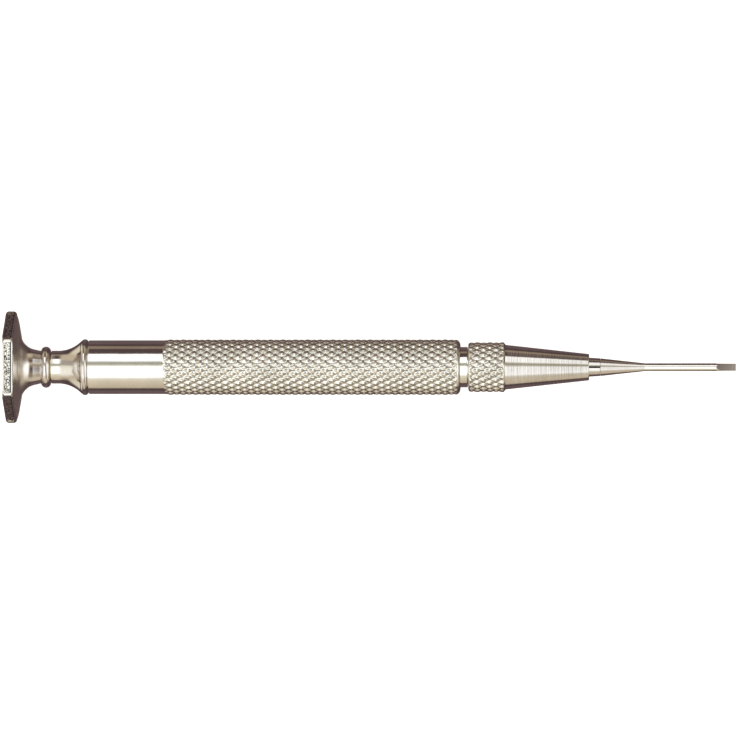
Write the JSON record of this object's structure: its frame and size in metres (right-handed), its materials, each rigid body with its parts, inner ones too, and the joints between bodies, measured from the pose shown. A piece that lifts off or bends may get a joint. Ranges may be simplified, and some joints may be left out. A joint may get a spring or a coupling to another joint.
{
  "type": "watchmaker screwdriver",
  "caption": "Nickel-plated watchmaker's screwdriver with a free-turning hexagonal finger rest, a diamond-knurled barrel and a screw chuck holding a flat-tipped blade.",
  "frame": {"origin": "centre of the finger rest's outer face, on the tool's axis", "axes": "+X along the tool's axis towards the blade's tip; +Z out of one flat of the hexagonal head and square to the tip's ground faces; the corners of the hexagon point along +Y and -Y"},
  "size_m": [0.1, 0.0154, 0.0134],
  "materials": {
    "nickel_polished": "polished",
    "nickel_knurl": "satin",
    "nickel_turned": "satin",
    "blade_steel": "satin",
    "collet_steel": "satin",
    "spindle_steel": "satin",
    "spring_steel": "satin",
    "brass": "satin"
  },
  "bodies": {
    "handle": {"barrel": "nickel_knurl", "end_cap": "nickel_polished", "spindle_bush": "brass", "outer_thrust_washer": "brass", "inner_thrust_washer": "brass", "chuck_body": "nickel_polished"},
    "swivel_head": {"finger_rest": "nickel_polished", "head_spindle": "spindle_steel", "retaining_ring": "spring_steel"},
    "collet": {"collet": "collet_steel"},
    "chuck_cap": {"chuck_cap": "nickel_turned"},
    "blade": {"blade": "blade_steel"}
  },
  "joints": [
    {"name": "head_swivel", "type": "hinge", "parent": "handle", "child": "swivel_head", "pos_m": [0.0078, 0, 0], "axis": [1, 0, 0], "continuous": true},
    {"name": "collet_advance", "type": "slide", "parent": "handle", "child": "collet", "axis": [1, 0, 0], "range_m": [0, 0.001]},
    {"name": "chuck_turn", "type": "hinge", "parent": "collet", "child": "chuck_cap", "pos_m": [0.066, 0, 0], "axis": [1, 0, 0], "range_deg": [0, 720]},
    {"name": "blade_pull", "type": "slide", "parent": "collet", "child": "blade", "axis": [1, 0, 0], "range_m": [0, 0.018]}
  ],
  "couplings": [
    {"joint": "chuck_turn", "follows": "collet_advance", "rad_per_m": 12566}
  ]
}
